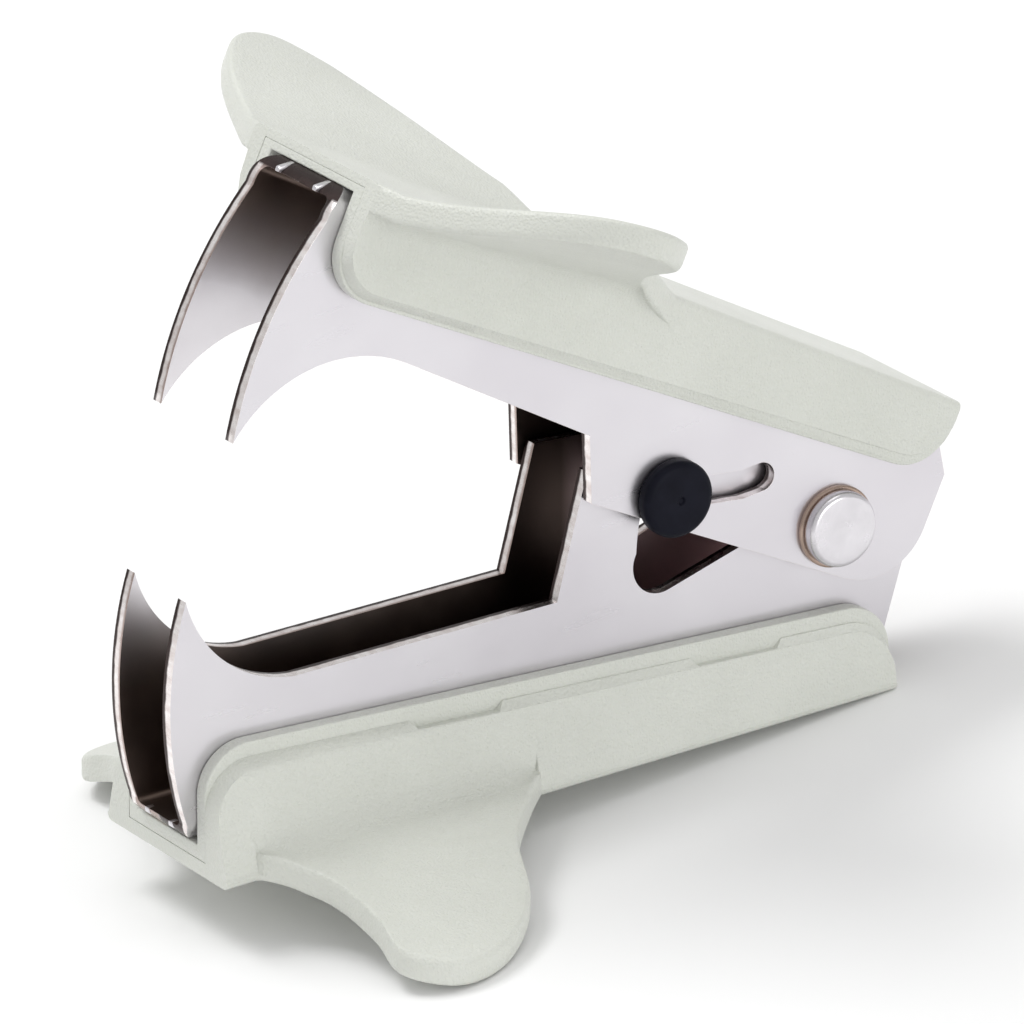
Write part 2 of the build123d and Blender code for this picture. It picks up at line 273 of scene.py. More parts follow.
def rounded(mesh, width, segments=2, look=-1):
    """mesh with its flat faces joined and its sharp edges rounded off.

    look is the material place of the rounding, or -1 for that of the faces beside it.
    """
    work = bmesh.new()
    work.from_mesh(mesh)
    bmesh.ops.remove_doubles(work, verts=work.verts, dist=0.004)
    bmesh.ops.dissolve_limit(
        work,
        angle_limit=math.radians(0.4),
        verts=work.verts,
        edges=work.edges,
        delimit={"MATERIAL"},
    )
    bmesh.ops.bevel(
        work,
        geom=sharp_edges(work),
        offset=width,
        segments=segments,
        profile=0.5,
        affect="EDGES",
        clamp_overlap=True,
        material=look,
    )
    bmesh.ops.remove_doubles(work, verts=work.verts, dist=0.002)
    work.to_mesh(mesh)
    work.free()
    return mesh


def joined(*meshes):
    """Several closed solids of one moulding or one wire in one mesh."""
    work = bmesh.new()
    for mesh in meshes:
        work.from_mesh(mesh)
    result = bpy.data.meshes.new("draft")
    for look in DRAFT_LOOKS:
        result.materials.append(look)
    work.to_mesh(result)
    work.free()
    return result


def piece(name, mesh, place, body, materials, replaces):
    """Put a mesh drawn in a jaw's frame into the model under its name, in place of the imported parts it
    replaces.
    """
    mesh.name = name
    mesh.transform(place)
    if place.determinant() < 0:
        mesh.flip_normals()
    while len(mesh.materials) > len(materials):
        mesh.materials.pop()
    for i, material in enumerate(materials):
        mesh.materials[i] = material
    work = bmesh.new()
    work.from_mesh(mesh)
    for face in work.faces:
        face.smooth = True
    for edge in work.edges:
        edge.smooth = len(edge.link_faces) != 2 or edge.calc_face_angle(0) < math.radians(CREASE_DEG)
    work.to_mesh(mesh)
    work.free()
    made = bpy.data.objects.new(name, mesh)
    bpy.context.scene.collection.objects.link(made)
    weighted = made.modifiers.new("normals", "WEIGHTED_NORMAL")
    weighted.keep_sharp = True
    if body:
        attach(made, body)
    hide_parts(*replaces)
    return made


# ---- materials ------------------------------------------------------------------------------------
class Look:
    """A principled material with a few short ways to add nodes."""

    def __init__(self, name, **values):
        self.material = bpy.data.materials.new(name)
        self.material.use_nodes = True
        self.nodes = self.material.node_tree.nodes
        self.links = self.material.node_tree.links
        self.shader = self.nodes["Principled BSDF"]
        for key, value in values.items():
            self.shader.inputs[key.replace("_", " ")].default_value = value
        self.place = self.nodes.new("ShaderNodeTexCoord").outputs["Object"]

    def mapped(self, scale):
        node = self.nodes.new("ShaderNodeMapping")
        node.inputs["Scale"].default_value = scale
        self.links.new(self.place, node.inputs["Vector"])
        return node.outputs["Vector"]

    def noise(self, scale, detail=3.0, stretch=(1, 1, 1), roughness=0.55):
        node = self.nodes.new("ShaderNodeTexNoise")
        node.inputs["Scale"].default_value = scale
        node.inputs["Detail"].default_value = detail
        node.inputs["Roughness"].default_value = roughness
        self.links.new(self.mapped(stretch), node.inputs["Vector"])
        return node.outputs["Fac"]

    def cells(self, scale):
        node = self.nodes.new("ShaderNodeTexVoronoi")
        node.feature = "SMOOTH_F1"
        node.inputs["Scale"].default_value = scale
        node.inputs["Smoothness"].default_value = 0.6
        self.links.new(self.mapped((1, 1, 1)), node.inputs["Vector"])
        return node.outputs["Distance"]

    def spread(self, value, low, high, out_low=0.0, out_high=1.0):
        node = self.nodes.new("ShaderNodeMapRange")
        for key, number in zip(("From Min", "From Max", "To Min", "To Max"), (low, high, out_low, out_high)):
            node.inputs[key].default_value = number
        self.links.new(value, node.inputs["Value"])
        return node.outputs["Result"]

    def tint(self, value, dark, light):
        node = self.nodes.new("ShaderNodeMix")
        node.data_type = "RGBA"
        node.inputs["A"].default_value = (*dark, 1)
        node.inputs["B"].default_value = (*light, 1)
        self.links.new(value, node.inputs["Factor"])
        return node.outputs["Result"]

    def blend(self, value, first, second):
        """Mix from a linked colour to a plain one."""
        node = self.nodes.new("ShaderNodeMix")
        node.data_type = "RGBA"
        self.links.new(first, node.inputs["A"])
        node.inputs["B"].default_value = (*second, 1)
        self.links.new(value, node.inputs["Factor"])
        return node.outputs["Result"]

    def distance(self, direction):
        """Distance from the rivet's axis along a direction, in metres."""
        away = self.nodes.new("ShaderNodeVectorMath")
        away.operation = "SUBTRACT"
        away.inputs[1].default_value = pivot
        self.links.new(self.place, away.inputs[0])
        node = self.nodes.new("ShaderNodeVectorMath")
        node.operation = "DOT_PRODUCT"
        node.inputs[1].default_value = direction
        self.links.new(away.outputs["Vector"], node.inputs[0])
        return node.outputs["Value"]

    def calc(self, operation, a, b):
        node = self.nodes.new("ShaderNodeMath")
        node.operation = operation
        for socket, value in zip(node.inputs, (a, b)):
            if isinstance(value, (int, float)):
                socket.default_value = value
            else:
                self.links.new(value, socket)
        return node.outputs["Value"]

    def drive(self, name, value):
        self.links.new(value, self.shader.inputs[name])

    def bump(self, *layers):
        """Each layer is a height, its strength and its depth in metres."""
        last = None
        for height, strength, depth in layers:
            node = self.nodes.new("ShaderNodeBump")
            node.inputs["Strength"].default_value = strength
            node.inputs["Distance"].default_value = depth
            self.links.new(height, node.inputs["Height"])
            if last:
                self.links.new(last, node.inputs["Normal"])
            last = node.outputs["Normal"]
        self.links.new(last, self.shader.inputs["Normal"])


def plated_steel():
    look = Look("plated_steel", Metallic=1.0)
    cloud = look.noise(90, 2)
    fine = look.noise(2600, 2)
    drawn = look.noise(900, 3, (0.12, 1, 1))
    look.drive("Base Color", look.tint(look.spread(cloud, 0.3, 0.7), (0.70, 0.675, 0.71), (0.76, 0.74, 0.77)))
    look.drive("Roughness", look.spread(drawn, 0.3, 0.7, 0.27, 0.36))
    look.bump((cloud, 0.15, 0.00006), (fine, 0.05, 0.00001))
    return look.material


def sheared_steel(name, turn, up, half, web):
    """Cut edges of the sheet: bright, with painted shade along one side of each wall's rounded edge.

    turn and up give the jaw's frame, and half is half of the channel's outer width, in metres. Above
    the height web the edge belongs to the web's front, which lies in the grip's shade.
    """
    look = Look(name, Metallic=1.0)
    marks = look.noise(1700, 3, (1, 0.3, 1))
    chips = look.noise(900, 2)
    height = look.distance((up * math.sin(turn), 0, up * math.cos(turn)))
    # painted shade: cut edges above the height web are painted dark, for the grip's shade
    shaded = look.spread(height, web, web + 0.0002)
    across = look.calc("ADD", look.distance((0, 1, 0)), look.spread(chips, 0.3, 0.7, -0.00006, 0.00006))
    near_wall = look.spread(across, 0.0002, -0.0002)
    far_wall = look.spread(across, -0.0002, 0.0002)
    # painted dark reflection on the +Y side of each wall's rounded cut edge: the near wall's inner half and
    # the far wall's outer half
    near_painted_shade = look.calc("MULTIPLY", near_wall, look.spread(across, 0.00056 - half, 0.00070 - half))
    far_painted_shade = look.spread(across, half - 0.00040, half - 0.00026)
    # painted shade: the far wall's cut edge is painted browner on its inner half, where it turns into the
    # channel
    inner_painted_shade = look.calc("MULTIPLY", far_wall, look.spread(across, half - 0.00070, half - 0.00090))
    bright = look.tint(look.spread(marks, 0.3, 0.65), (0.74, 0.66, 0.64), (0.97, 0.93, 0.92))
    bright = look.blend(inner_painted_shade, bright, (0.42, 0.33, 0.30))
    # painted shade: this dark mask joins the painted dark reflections and the painted shade of the web's
    # front
    dark = look.calc("MAXIMUM", look.calc("MAXIMUM", near_painted_shade, far_painted_shade), shaded)
    look.drive("Base Color", look.blend(dark, bright, (0.045, 0.03, 0.028)))
    look.drive("Roughness", look.spread(chips, 0.3, 0.7, 0.2, 0.36))
    look.bump((chips, 0.3, 0.00003))
    return look.material


def inner_steel(name, turn, up, lit_height):
    """Inside of a channel: duller plating in darker, warmer painted shade, with painted light towards the
    fangs' tips.

    turn and up give the jaw's frame. The plating gets painted light below the height given last, in metres.
    """
    look = Look(name, Metallic=1.0)
    grain = look.noise(3200, 2)
    cloud = look.noise(160, 3)
    along = look.distance((math.cos(turn), 0, -math.sin(turn)))
    height = look.distance((up * math.sin(turn), 0, up * math.cos(turn)))
    # painted light: the inside is painted lighter below that height and more than 29 mm ahead of the rivet,
    # towards the fangs' tips
    low = look.spread(look.calc("ADD", height, look.calc("MULTIPLY", cloud, 0.003)), lit_height, lit_height - 0.0075)
    front = look.spread(along, -0.029, -0.036)
    painted_light = look.calc("MULTIPLY", look.calc("POWER", low, 1.4), front)
    # painted shade: the channel's inside is painted dark
    dark = look.tint(look.spread(cloud, 0.25, 0.75), (0.15, 0.112, 0.097), (0.24, 0.185, 0.16))
    # painted shade: darker still from about 20 mm ahead of the rivet rearwards
    dark = look.blend(look.spread(along, -0.026, -0.020), dark, (0.075, 0.055, 0.048))
    # painted light: lighter again from about 12.5 mm ahead of the rivet, where the inside is seen through the
    # lock's opening
    dark = look.blend(look.spread(along, -0.0165, -0.0125), dark, (0.47, 0.35, 0.36))
    look.drive("Base Color", look.blend(painted_light, dark, (0.80, 0.775, 0.80)))
    look.drive("Roughness", look.spread(cloud, 0.3, 0.7, 0.32, 0.45))
    look.bump((grain, 0.2, 0.00002))
    return look.material


def moulded_plastic(name, dark, light, gloss):
    """Spark-eroded moulding with a fine grain."""
    look = Look(
        name, Subsurface_Weight=0.12, Subsurface_Radius=(0.0012, 0.0012, 0.001), Specular_IOR_Level=0.5
    )
    grain = look.cells(5200)
    fine = look.noise(8200, 2)
    cloud = look.noise(110, 3)
    height = look.calc("ADD", look.calc("MULTIPLY", grain, 0.7), look.calc("MULTIPLY", fine, 0.5))
    look.drive("Base Color", look.tint(look.spread(cloud, 0.3, 0.7), dark, light))
    look.drive("Roughness", look.spread(fine, 0.3, 0.7, gloss, gloss + 0.14))
    look.bump((cloud, 0.1, 0.0003), (height, 0.75, 0.0001))
    return look.material


def knob_plastic():
    look = Look("knob_plastic", Specular_IOR_Level=0.08)
    fine = look.noise(4200, 3)
    cloud = look.noise(500, 3)
    look.drive(
        "Base Color", look.tint(look.spread(cloud, 0.3, 0.7), (0.005, 0.0053, 0.010), (0.009, 0.0095, 0.017))
    )
    look.drive("Roughness", look.spread(cloud, 0.3, 0.7, 0.34, 0.46))
    look.bump((fine, 0.12, 0.00003))
    return look.material


RING_TURNS = 17000.0     # radians of the turning marks for each metre of radius


def turned_steel(name, tone):
    """Rivet and washers: bright steel with faint turning rings about the rivet's axis."""
    look = Look(name, Metallic=1.0)
    split = look.nodes.new("ShaderNodeSeparateXYZ")
    look.links.new(look.place, split.inputs["Vector"])
    across_x = look.calc("SUBTRACT", split.outputs["X"], pivot.x)
    across_z = look.calc("SUBTRACT", split.outputs["Z"], pivot.z)
    squared_x = look.calc("MULTIPLY", across_x, across_x)
    squared_z = look.calc("MULTIPLY", across_z, across_z)
    radius = look.calc("SQRT", look.calc("ADD", squared_x, squared_z), 0.0)
    rings = look.calc("SINE", look.calc("MULTIPLY", radius, RING_TURNS), 0.0)
    cloud = look.noise(700, 3)
    wobble = look.calc("MULTIPLY", look.spread(rings, -1, 1), look.spread(cloud, 0.3, 0.7))
    look.drive("Base Color", look.tint(look.spread(cloud, 0.3, 0.7), tuple(0.9 * c for c in tone), tone))
    look.drive("Roughness", look.spread(cloud, 0.3, 0.7, 0.16, 0.3))
    look.bump((wobble, 0.25, 0.00002))
    return look.material


def wire_steel():
    look = Look("wire_steel", Metallic=1.0)
    drawn = look.noise(2200, 3)
    look.drive("Base Color", look.tint(look.spread(drawn, 0.3, 0.7), (0.30, 0.27, 0.25), (0.55, 0.52, 0.50)))
    look.drive("Roughness", look.spread(drawn, 0.3, 0.7, 0.25, 0.4))
    look.bump((drawn, 0.1, 0.00002))
    return look.material


steel = plated_steel()
# the grips' two tones, which a broad noise mixes
SAGE = (0.66, 0.675, 0.62), (0.71, 0.725, 0.67)
shell_plastic = moulded_plastic("grip_plastic", *SAGE, 0.28)
tray_plastic = moulded_plastic("liner_plastic", *SAGE, 0.31)
black_plastic = knob_plastic()
rivet_steel = turned_steel("rivet_steel", (0.79, 0.77, 0.80))
washer_steel = turned_steel("washer_steel", (0.45, 0.34, 0.28))
spring_steel = wire_steel()

# ---- pressed steel jaws ---------------------------------------------------------------------------
SHEET = 1.0              # thickness of the steel
UPPER_HALF = 5.05        # half of the upper channel's outer width
LOWER_HALF = 3.75        # and of the lower one's, which fits between the upper ears
BEND = 1.6               # outer radius between web and walls
WEB_SLOPE = 0.05
UPPER_WEB = 11.8         # height of the web's outer face at its front
LOWER_WEB = 13.0
UPPER_WEB_FRONT = -46.2
LOWER_WEB_FRONT = -48.2
RIVET_R = 1.75
LOCK_FRONT = (-13.6, -1.2)
LOCK_REAR = (-7.6, 1.2)
PIN_R = 1.0
PIN_CLEAR = 1.1          # half of the pin's way through the lower ears
FLARE_FRONT, FLARE_FRONT_R = (-12.9, -0.55), 2.1     # ends of the wedge in the near ear
FLARE_REAR, FLARE_REAR_R = (-7.3, 0.75), 1.53
SLOT_R = 1.0
SLOT_BEND = (-8.4, 0.88)     # the slot turns up here, so that the locked pin snaps in
SLOT_END = (-7.15, 1.7)
STEEL_EDGE = 0.12
CUT, INSIDE = 1, 2       # material places on a jaw


def web_height(web, web_front, x):
    return web - WEB_SLOPE * (x - web_front)


def turned(point, turn):
    c = math.cos(turn)
    s = math.sin(turn)
    return (point[0] * c + point[1] * s, point[1] * c - point[0] * s)


def channel(half, web, web_front):
    """Long U section of bent sheet, its web along the sloping web line."""
    depth = 40
    front, rear = web_front - 5, 25
    steps = 10
    section = []
    for y_side in (-1, 1):
        bend = [
            (y_side * (half - BEND + BEND * math.sin(a)), BEND * (math.cos(a) - 1))
            for a in [math.pi / 2 * i / steps for i in range(steps + 1)]
        ]
        section += [(y_side * half, -depth)] + bend[::-1] if y_side < 0 else bend + [(half, -depth)]
    outer_count = len(section)
    for y_side in (1, -1):
        radius = BEND - SHEET
        bend = [
            (y_side * (half - BEND + radius * math.sin(a)), -BEND + radius * math.cos(a))
            for a in [math.pi / 2 * i / steps for i in range(steps + 1)]
        ]
        wall = (y_side * (half - SHEET), -depth)
        section += [wall] + bend[::-1] if y_side > 0 else bend + [wall]
    count = len(section)
    vertices = [
        (x, y, v + web_height(web, web_front, x)) for x in (front, rear) for y, v in section
    ]
    faces = [tuple(range(count)), tuple(range(2 * count - 1, count - 1, -1))]
    faces += [(i, (i + 1) % count, count + (i + 1) % count, count + i) for i in range(count)]
    sides = [0 if i < outer_count - 1 else INSIDE for i in range(count)]
    return mesh_from(vertices, faces, [0, 0] + sides)


def upper_outline():
    tip = (-48.1, -6.0)
    shoulder = (-47.35, 9.4)
    web_front = (UPPER_WEB_FRONT, UPPER_WEB)
    throat = (-37.5, 2.2)
    low = -3.2
    rear = 7.2
    ear = 4.75
    return (
        arc(tip, (-48.75, 1.2), shoulder, 24)
        + arc(shoulder, (-47.05, 10.85), web_front, 8)
        + [web_front, (4.4, web_height(UPPER_WEB, UPPER_WEB_FRONT, 4.4)), (rear, 5.4)]
        + arc((rear, low + ear), (rear - 0.293 * ear, low + 0.293 * ear), (rear - ear, low), 14)
        + [(rear - ear, low), (-19.5, low), (-21.6, 1.05)]
        + arc(throat, (-44.6, -0.1), tip, 28)
    )


def lower_outline():
    tip = (-49.1, -3.8)
    shoulder = (-49.15, 11.7)
    web_front = (LOWER_WEB_FRONT, LOWER_WEB)
    throat = (-41.0, 2.85)
    ear_x = 0.4
    ear = 6.9
    flank, crown = [
        (ear_x + ear * math.cos(math.radians(a)), -ear * math.sin(math.radians(a))) for a in (-20, 40)
    ]
    return (
        arc(tip, (-50.35, 4.2), shoulder, 24)
        + arc(shoulder, (-48.85, 12.6), web_front, 8)
        + [web_front, (3.0, web_height(LOWER_WEB, LOWER_WEB_FRONT, 3.0)), (4.9, 8.8)]
        + arc(flank, crown, (ear_x, -ear), 28)
        + [(ear_x, -ear), (-18.6, -ear), (-20.9, 1.75)]
        + arc(throat, (-46.4, 0.65), tip, 28)
    )


def disc(centre, radius, steps=48):
    angles = [2 * math.pi * i / steps for i in range(steps)]
    return [(centre[0] + radius * math.cos(a), centre[1] + radius * math.sin(a)) for a in angles]


def lock_opening():
    """The lower ears' opening for the lock pin: its arc, and the arm that holds the jaws shut.

    In the near ear a wedge, wider at the front, is cut as well.
    """
    reach = math.hypot(*LOCK_FRONT)
    closed = math.atan2(LOCK_FRONT[1], LOCK_FRONT[0])
    steps = 24
    track = []
    for radius, order in ((reach + PIN_CLEAR, 1), (reach - PIN_CLEAR, -1)):
        angles = [closed - OPEN_TURN * i / steps for i in range(steps + 1)]
        row = [(radius * math.cos(a), radius * math.sin(a)) for a in angles]
        track += row[::order]
    opening = prism(track, -CUTTER, CUTTER, CUT)
    open_front = turned(LOCK_FRONT, OPEN_TURN)
    for arm, far in (
        (capsule(LOCK_FRONT, LOCK_REAR, PIN_CLEAR), CUTTER + 0.1),
        (wedge(FLARE_FRONT, FLARE_FRONT_R, FLARE_REAR, FLARE_REAR_R), 0.0),
        (disc(open_front, PIN_CLEAR), CUTTER + 0.2),
    ):
        opening = boolean(opening, prism(arm, -CUTTER - 0.1, far, CUT), "UNION")
    return opening


def ridges(web_front, web, place, lean):
    """Two small bright ridges that the press leaves on the web's leaning front edge."""
    inner = web - SHEET
    section = [
        (web_front + 0.3, web - 0.08), (web_front - 0.12, web - 0.06),
        (web_front - lean - 0.22, inner + 0.35), (web_front - lean - 0.2, inner + 0.02),
        (web_front - 0.3, inner + 0.02),
    ]
    return [rounded(prism(section, y - 0.24, y + 0.24), 0.08) for y in (-place, place)]


def rivet_hole():
    return prism(disc((0, 0), RIVET_R), -CUTTER - 0.2, CUTTER + 0.2, CUT)


def upper_jaw():
    bent = channel(UPPER_HALF, UPPER_WEB, UPPER_WEB_FRONT)
    jaw = boolean(bent, prism(upper_outline(), -CUTTER, CUTTER, CUT), "INTERSECT")
    jaw = boolean(jaw, rivet_hole(), "DIFFERENCE")
    slot = prism(capsule(LOCK_FRONT, SLOT_BEND, SLOT_R), -CUTTER - 0.3, CUTTER + 0.3, CUT)
    upturn = prism(capsule(SLOT_BEND, SLOT_END, SLOT_R), -CUTTER - 0.4, CUTTER + 0.4, CUT)
    slot = boolean(slot, upturn, "UNION")
    jaw = boolean(jaw, slot, "DIFFERENCE")
    return joined(rounded(jaw, STEEL_EDGE, look=CUT), *ridges(UPPER_WEB_FRONT, UPPER_WEB, 2.3, 0.85))


def lower_jaw():
    """Drawn upwards like the upper jaw, and mirrored by its frame."""
    bent = channel(LOWER_HALF, LOWER_WEB, LOWER_WEB_FRONT)
    jaw = boolean(bent, prism(lower_outline(), -CUTTER, CUTTER, CUT), "INTERSECT")
    jaw = boolean(jaw, rivet_hole(), "DIFFERENCE")
    opening = lock_opening()
    opening.transform(Matrix.Diagonal((1, 1, -1, 1)))
    opening.flip_normals()
    jaw = boolean(jaw, opening, "DIFFERENCE")
    return joined(rounded(jaw, STEEL_EDGE, look=CUT), *ridges(LOWER_WEB_FRONT, LOWER_WEB, 1.5, 0.75))


# the last two numbers are heights in metres: cut edges above the first get painted shade, and the channel's
# inside below the second gets painted light
for body, draw, place, turn, up, half, shade, lit_height in (
    ("upper", upper_jaw, UPPER, UPPER_TURN, 1, UPPER_HALF, 0.0107, 0.0112),
    ("lower", lower_jaw, LOWER, LOWER_TURN, -1, LOWER_HALF, 0.02, 0.006),
):
    inside = inner_steel(f"{body}_channel_inside", turn, up, lit_height)
    cut = sheared_steel(f"{body}_sheared_steel", turn, up, half * MM, shade)
    looks = (steel, cut, inside)
    piece(f"{body}_jaw_sheet", draw(), place, body, looks, [f"{body}_jaw"])

# ---- plastic grips --------------------------------------------------------------------------------
TRAY_WALL = 1.1
TRAY_PLAY = 0.05
UPPER_FLOOR = 0.6        # tray floor, and the same again for the shell
LOWER_FLOOR = 1.0
UPPER_STEP = 0.25        # the tray stands this far out of the shell at its free edge
LOWER_STEP = 1.0
CORNER = 3.4
WING_T = 1.9
WING_ROOT = 5.5          # distance from the middle where a wing's curve starts
TWIST_X = 20.0           # length over which the wing's curve changes from the first to the second
BACK_EDGE = 0.5          # rounding of the shell's long edges
BACK_HALF = 7.7          # half of the back's width at the front
BACK_TAPER = 1.75        # and how much narrower that is at the rear
SEAM_LAP = 0.75          # thickness of the shell's free edge at the front
SEAM_TAPER = 0.5         # and how much thinner that is at the rear
LIP = 0.6                # height of the sloping band along the shell's free edge
CLIP_HALF = 3.6          # half of a clip window's length
CLIP_WIDTH = 0.62
CLIP_DEPTH = 0.55
CLIP_LEAN = 0.5          # each end of the window is this much shorter at its full depth


class Grip:
    def __init__(self, half, web, web_front, layer, skirt, step, front, rear, wing, curls, clips):
        self.half = half + TRAY_PLAY
        self.web = web
        self.web_front = web_front
        self.layer = layer
        self.skirt = skirt
        self.seam = skirt + step
        self.front = front
        self.rear = rear
        self.wing = wing
        self.curls = curls
        self.clips = clips

    def floor(self, x, depth):
        return web_height(self.web, self.web_front, x) + depth

    def free_edge(self, x, edge):
        """Height of a free edge whose corners are rounded off at both ends."""
        inset = min(x - self.front, self.rear - x)
        if inset >= CORNER:
            return edge
        away = CORNER - max(inset, 0.0)
        return edge + CORNER - math.sqrt(max(CORNER**2 - away**2, 0.0))

    def rise(self, x, y):
        """Height of a wing's outer face above the flat back."""
        y = max(abs(y), WING_ROOT)
        share = (x - self.front) / TWIST_X
        heights = []
        for curl in self.curls:
            (y0, r0), (y1, r1), (y2, r2) = curl
            a = (y - y1) * (y - y2) / ((y0 - y1) * (y0 - y2))
            b = (y - y0) * (y - y2) / ((y1 - y0) * (y1 - y2))
            c = (y - y0) * (y - y1) / ((y2 - y0) * (y2 - y1))
            heights.append(a * r0 + b * r1 + c * r2)
        return max(heights[0] + (heights[1] - heights[0]) * share, 0.0)


UPPER_GRIP = Grip(
    UPPER_HALF, UPPER_WEB, UPPER_WEB_FRONT, UPPER_FLOOR, 5.2, UPPER_STEP, -46.3, 5.4,
    (
        (0.0, 7.55), (1.5, 12.0), (3.6, 18.3), (6.4, 22.6), (10.3, 24.3), (13.2, 22.9),
        (14.8, 20.6), (16.6, 17.0), (18.9, 12.5), (21.5, 9.3), (26.0, 6.9),
    ),
    (((5.5, -0.5), (15.0, 1.1), (25.5, 5.2)), ((5.5, 0.3), (13.0, 2.9), (25.5, 5.0))),
    (),
)
LOWER_GRIP = Grip(
    LOWER_HALF, LOWER_WEB, LOWER_WEB_FRONT, LOWER_FLOOR, 6.2, LOWER_STEP, -48.5, 4.6,
    (
        (2.2, 7.0), (5.0, 12.0), (5.6, 17.0), (5.4, 20.5), (8.5, 22.8),
        (12.5, 22.0), (16.3, 18.5), (19.0, 12.8), (24.5, 6.9),
    ),
    (((5.5, -0.3), (14.5, 1.35), (25.5, 4.75)),) * 2,
    (-29.5, -7.7),
)


def shell_side(grip, x, tip):
    """One side of the shell's section at the station x: points from the back's middle to the tray.

    tip is the wing's edge, as a point in X and Y. Where there is no wing it lies on the side wall.
    """
    tray = grip.half + TRAY_WALL
    seam = grip.free_edge(x, grip.seam)
    back = grip.floor(x, 2 * grip.layer)
    along = (x - grip.front) / (grip.rear - grip.front)
    seam_half = tray + SEAM_LAP - SEAM_TAPER * along
    back_half = max(BACK_HALF - BACK_TAPER * along, tray + 0.2)
    full = back - grip.seam

    def wall(v):
        """Y of the sloping side wall at the height v."""
        return seam_half + (back_half - seam_half) * (v - (back - full)) / full

    reach = math.hypot(tip[0] - x, tip[1] - wall(back))
    if tip[1] <= wall(back) + 0.01:
        reach = 0.0
        tip = (x, wall(back))

    def out(share):
        return (x + (tip[0] - x) * share, WING_ROOT + (tip[1] - WING_ROOT) * share)

    def top(share):
        px, py = out(share)
        return grip.floor(px, 2 * grip.layer) + (grip.rise(px, py) if reach else 0.0) * min(1, reach / 3)

    points = []
    height = back - seam
    round_top = min(BACK_EDGE, 0.4 * height)
    span = max(math.hypot(tip[0] - x, tip[1] - WING_ROOT), 0.1)
    points.append((x, 0.0, back))
    points.append((x, WING_ROOT * 0.6, back))
    last = 1 - round_top / span
    for i in range(15):
        share = last * i / 14
        px, py = out(share)
        points.append((px, py, top(share)))
    centre = last
    for i in range(1, 5):
        angle = math.pi / 2 * i / 4
        share = centre + (1 - centre) * math.sin(angle)
        px, py = out(share)
        points.append((px, py, top(share) - round_top * (1 - math.cos(angle))))
    # rim down to the underside
    depth = min(WING_T, 0.6 * height)
    low_round = min(BACK_EDGE, 0.5 * reach)
    tip_top = top(1.0)
    px, py = out(1.0)
    wall_low = max(back - depth - 1.6, seam + 0.45 * height)
    if reach <= 0:
        for i in range(1, 20):
            v = back - round_top + (wall_low - back + round_top) * i / 19
            points.append((x, wall(v), v))
    else:
        points.append((px, py, tip_top - 0.5 * depth))
        points.append((px, py, tip_top - depth + low_round))
        inner_share = 1 - low_round / span
        for i in range(1, 5):
            angle = math.pi / 2 * i / 4
            share = inner_share + (1 - inner_share) * math.cos(angle)
            qx, qy = out(share)
            points.append((qx, qy, top(share) - depth + low_round * (1 - math.sin(angle))))
        # underside back to the wall, ending in a hollow fillet
        fillet = min(2.4, 0.65 * reach)
        root_share = (wall(back - depth) + fillet - WING_ROOT) / max(tip[1] - WING_ROOT, 0.1)
        root_share = min(root_share, inner_share - 0.01)
        for i in range(1, 8):
            share = inner_share + (root_share - inner_share) * i / 7
            qx, qy = out(share)
            points.append((qx, qy, top(share) - depth))
        sx, sy = out(root_share)
        sv = top(root_share) - depth
        end_v = sv - fillet
        end = (x, wall(end_v), end_v)
        for i in range(1, 7):
            angle = math.pi / 2 * i / 6
            a = math.sin(angle)
            b = 1 - math.cos(angle)
            points.append((sx + (end[0] - sx) * a, sy + (end[1] - sy) * a, sv + (end[2] - sv) * b))
    low = points[-1][2]
    lip = min(LIP, 0.2 * height)
    foot = seam + lip
    for i in range(1, 7):
        v = low + (foot - low) * i / 6
        points.append((x, wall(v), v))
    points.append((x, wall(foot) - 0.1, foot - 0.08))
    points.append((x, tray + 0.12, seam + 0.02))
    points.append((x, tray, seam))
    points.append((x, tray, grip.floor(x, grip.layer)))
    points.append((x, 0.0, grip.floor(x, grip.layer)))
    return points


def grip_stations(grip):
    """Places along the grip, each with the point of the wing's edge that belongs to it."""
    outline = [(grip.front + dx, y) for dx, y in smooth_line(grip.wing, 24)]
    wing_count = 90
    edge = even(outline, wing_count)
    roots = [
        edge[0][0] + (edge[-1][0] - edge[0][0]) * i / (wing_count - 1) for i in range(wing_count)
    ]
    stations = []
    ends = [0.0, 0.06, 0.22, 0.5, 0.9, 1.4, 2.0, 2.7, 3.4]
    lead = [grip.front + d for d in ends if grip.front + d < roots[0] - 0.05]
    stations += [(x, (x, 0.0)) for x in lead]
    stations += list(zip(roots, edge))
    x = roots[-1] + 1.2
    while x < grip.rear - CORNER - 0.6:
        stations.append((x, (x, 0.0)))
        x += 1.2
    stations += [(grip.rear - d, (grip.rear - d, 0.0)) for d in reversed(ends)]
    return stations


